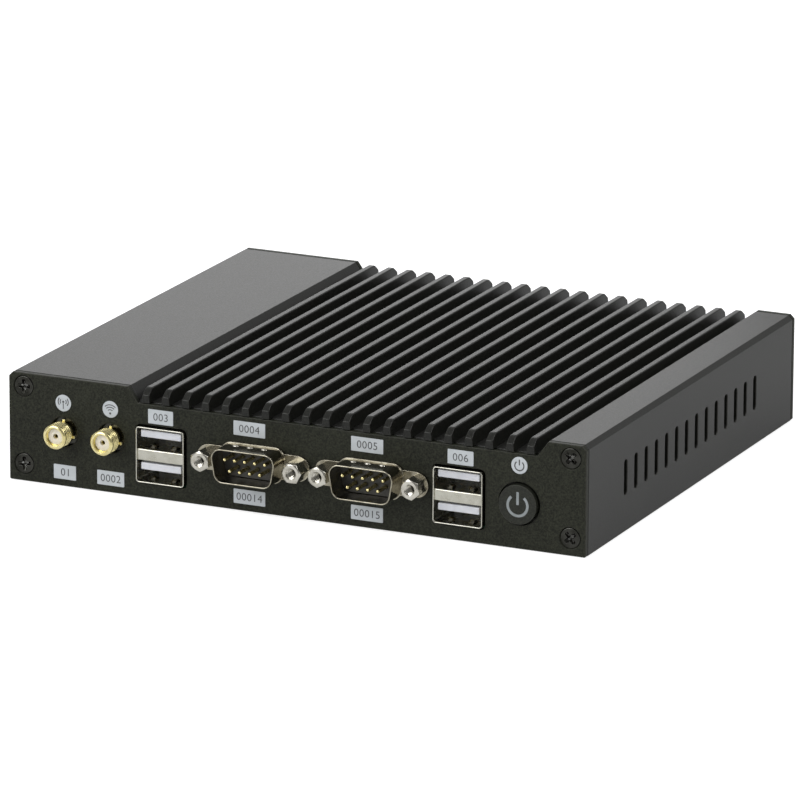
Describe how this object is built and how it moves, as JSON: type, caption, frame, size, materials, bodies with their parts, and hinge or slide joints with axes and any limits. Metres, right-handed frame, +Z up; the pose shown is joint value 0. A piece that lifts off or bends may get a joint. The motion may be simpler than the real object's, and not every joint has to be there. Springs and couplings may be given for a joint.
{
  "type": "fanless industrial pc",
  "caption": "Flat fanless industrial computer: finned aluminium case, antenna jacks, stacked data ports, nine-way serial ports, power button, side vents and rear sockets.",
  "frame": {"origin": "middle of the footprint, on the surface that the case stands on", "axes": "+X to the right along the front panel, +Y back from the front panel, +Z up"},
  "size_m": [0.157, 0.1424, 0.028],
  "materials": {
    "case_paint": "fine-textured powder coat, anthracite",
    "panel_paint": "fine-textured powder coat, near black",
    "label_print": "thin printed labels",
    "screw_steel": "bright zinc plate",
    "port_metal": "bright tin plate",
    "gold": "gold plate over brass",
    "white_insulator": "white fluoropolymer",
    "white_plastic": "ivory moulded plastic",
    "black_plastic": "black moulded plastic",
    "button_plastic": "black moulded plastic, light sheen",
    "board_green": "green solder resist",
    "brass_posts": "turned brass",
    "chip_metal": "plated steel",
    "soft_pad": "soft grey pad",
    "block_aluminium": "milled aluminium",
    "coil_grey": "grey moulded powder",
    "chip_black": "black moulded resin"
  },
  "bodies": {
    "case": {"antenna_contacts": "gold", "antenna_insulators": "white_insulator", "antenna_jack_1": "gold", "antenna_jack_2": "gold", "antenna_rings": "gold", "board_screws": "screw_steel", "board_standoffs": "brass_posts", "bottom_cover": "panel_paint", "bottom_cover_screws": "screw_steel", "capacitors": "chip_metal", "card_screws": "screw_steel", "card_standoffs": "brass_posts", "cell_holder": "black_plastic", "clock_cell": "chip_metal", "controller_chips": "chip_black", "data_port_contacts": "gold", "data_port_insulator_1": "white_plastic", "data_port_insulator_2": "white_plastic", "data_port_shell_1": "port_metal", "data_port_shell_2": "port_metal", "front_labels": "label_print", "front_panel": "panel_paint", "front_panel_screws": "screw_steel", "heat_block": "block_aluminium", "heat_block_screws": "screw_steel", "housing": "case_paint", "inlet_body": "black_plastic", "inlet_pin": "port_metal", "jackscrew_nuts": "screw_steel", "jackscrews": "screw_steel", "lan_contacts": "gold", "lan_insert_1": "black_plastic", "lan_insert_2": "black_plastic", "lan_shell_1": "port_metal", "lan_shell_2": "port_metal", "mainboard": "board_green", "memory_module": "board_green", "memory_socket": "black_plastic", "power_button_body": "black_plastic", "power_button_spring": "screw_steel", "power_coils": "coil_grey", "processor": "chip_metal", "rear_panel": "panel_paint", "rear_panel_screws": "screw_steel", "serial_insulator_1": "black_plastic", "serial_insulator_2": "black_plastic", "serial_pins": "gold", "serial_shell_1": "port_metal", "serial_shell_2": "port_metal", "sound_socket": "black_plastic", "storage_card": "board_green", "storage_socket": "black_plastic", "switch_terminals": "gold", "thermal_pad": "soft_pad", "video_insert": "black_plastic", "video_shell": "port_metal", "wireless_card": "board_green", "wireless_socket": "black_plastic"},
    "power_button": {"power_button_cap": "button_plastic", "contact_bridge": "gold"}
  },
  "joints": [
    {"name": "power_button_press", "type": "slide", "parent": "case", "child": "power_button", "axis": [0, 1, 0], "range_m": [0, 0.0012], "stiffness_N_per_m": 400, "springref_m": -0.0015, "deforming": ["power_button_spring"]}
  ]
}
